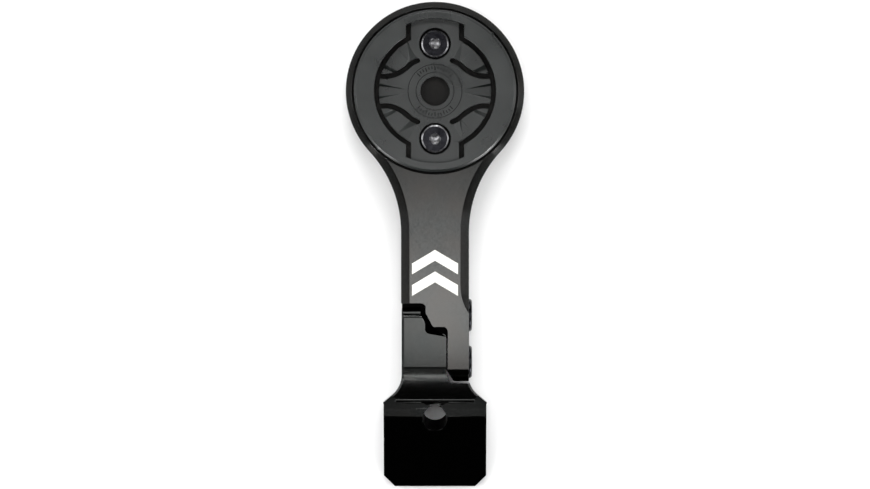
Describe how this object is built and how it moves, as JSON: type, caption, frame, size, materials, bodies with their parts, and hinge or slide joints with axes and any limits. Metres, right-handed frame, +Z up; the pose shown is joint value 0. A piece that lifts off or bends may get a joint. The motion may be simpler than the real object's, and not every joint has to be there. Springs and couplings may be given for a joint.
{
  "type": "out-front bicycle computer mount",
  "caption": "Aluminium arm with a round quarter-turn head that holds a cycling computer ahead of a handlebar, tilting on a bolted bracket.",
  "frame": {"origin": "on the surface it stands on, under the middle of its length and width", "axes": "+Y forward along the arm to the head, +Z up out of the quarter-turn face, +X towards the bolt heads"},
  "size_m": [0.038, 0.1036, 0.0108],
  "materials": {
    "anodised_aluminium": "black anodised, fine satin grain",
    "black_polymer": "moulded glass-filled nylon, matte",
    "black_steel": "black oxide, bright where worn"
  },
  "bodies": {
    "base": {"base_bracket": "anodised_aluminium", "pivot_bolt": "black_steel", "pivot_washer": "black_steel"},
    "arm": {"arm": "anodised_aluminium", "quarter_turn_insert": "black_polymer", "insert_screw_front": "black_steel", "insert_screw_rear": "black_steel", "lock_bolt": "black_steel"}
  },
  "joints": [
    {"name": "arm_tilt", "type": "hinge", "parent": "base", "child": "arm", "pos_m": [0, -0.0251, 0.0045], "axis": [1, 0, 0], "range_deg": [-6, 6]}
  ]
}
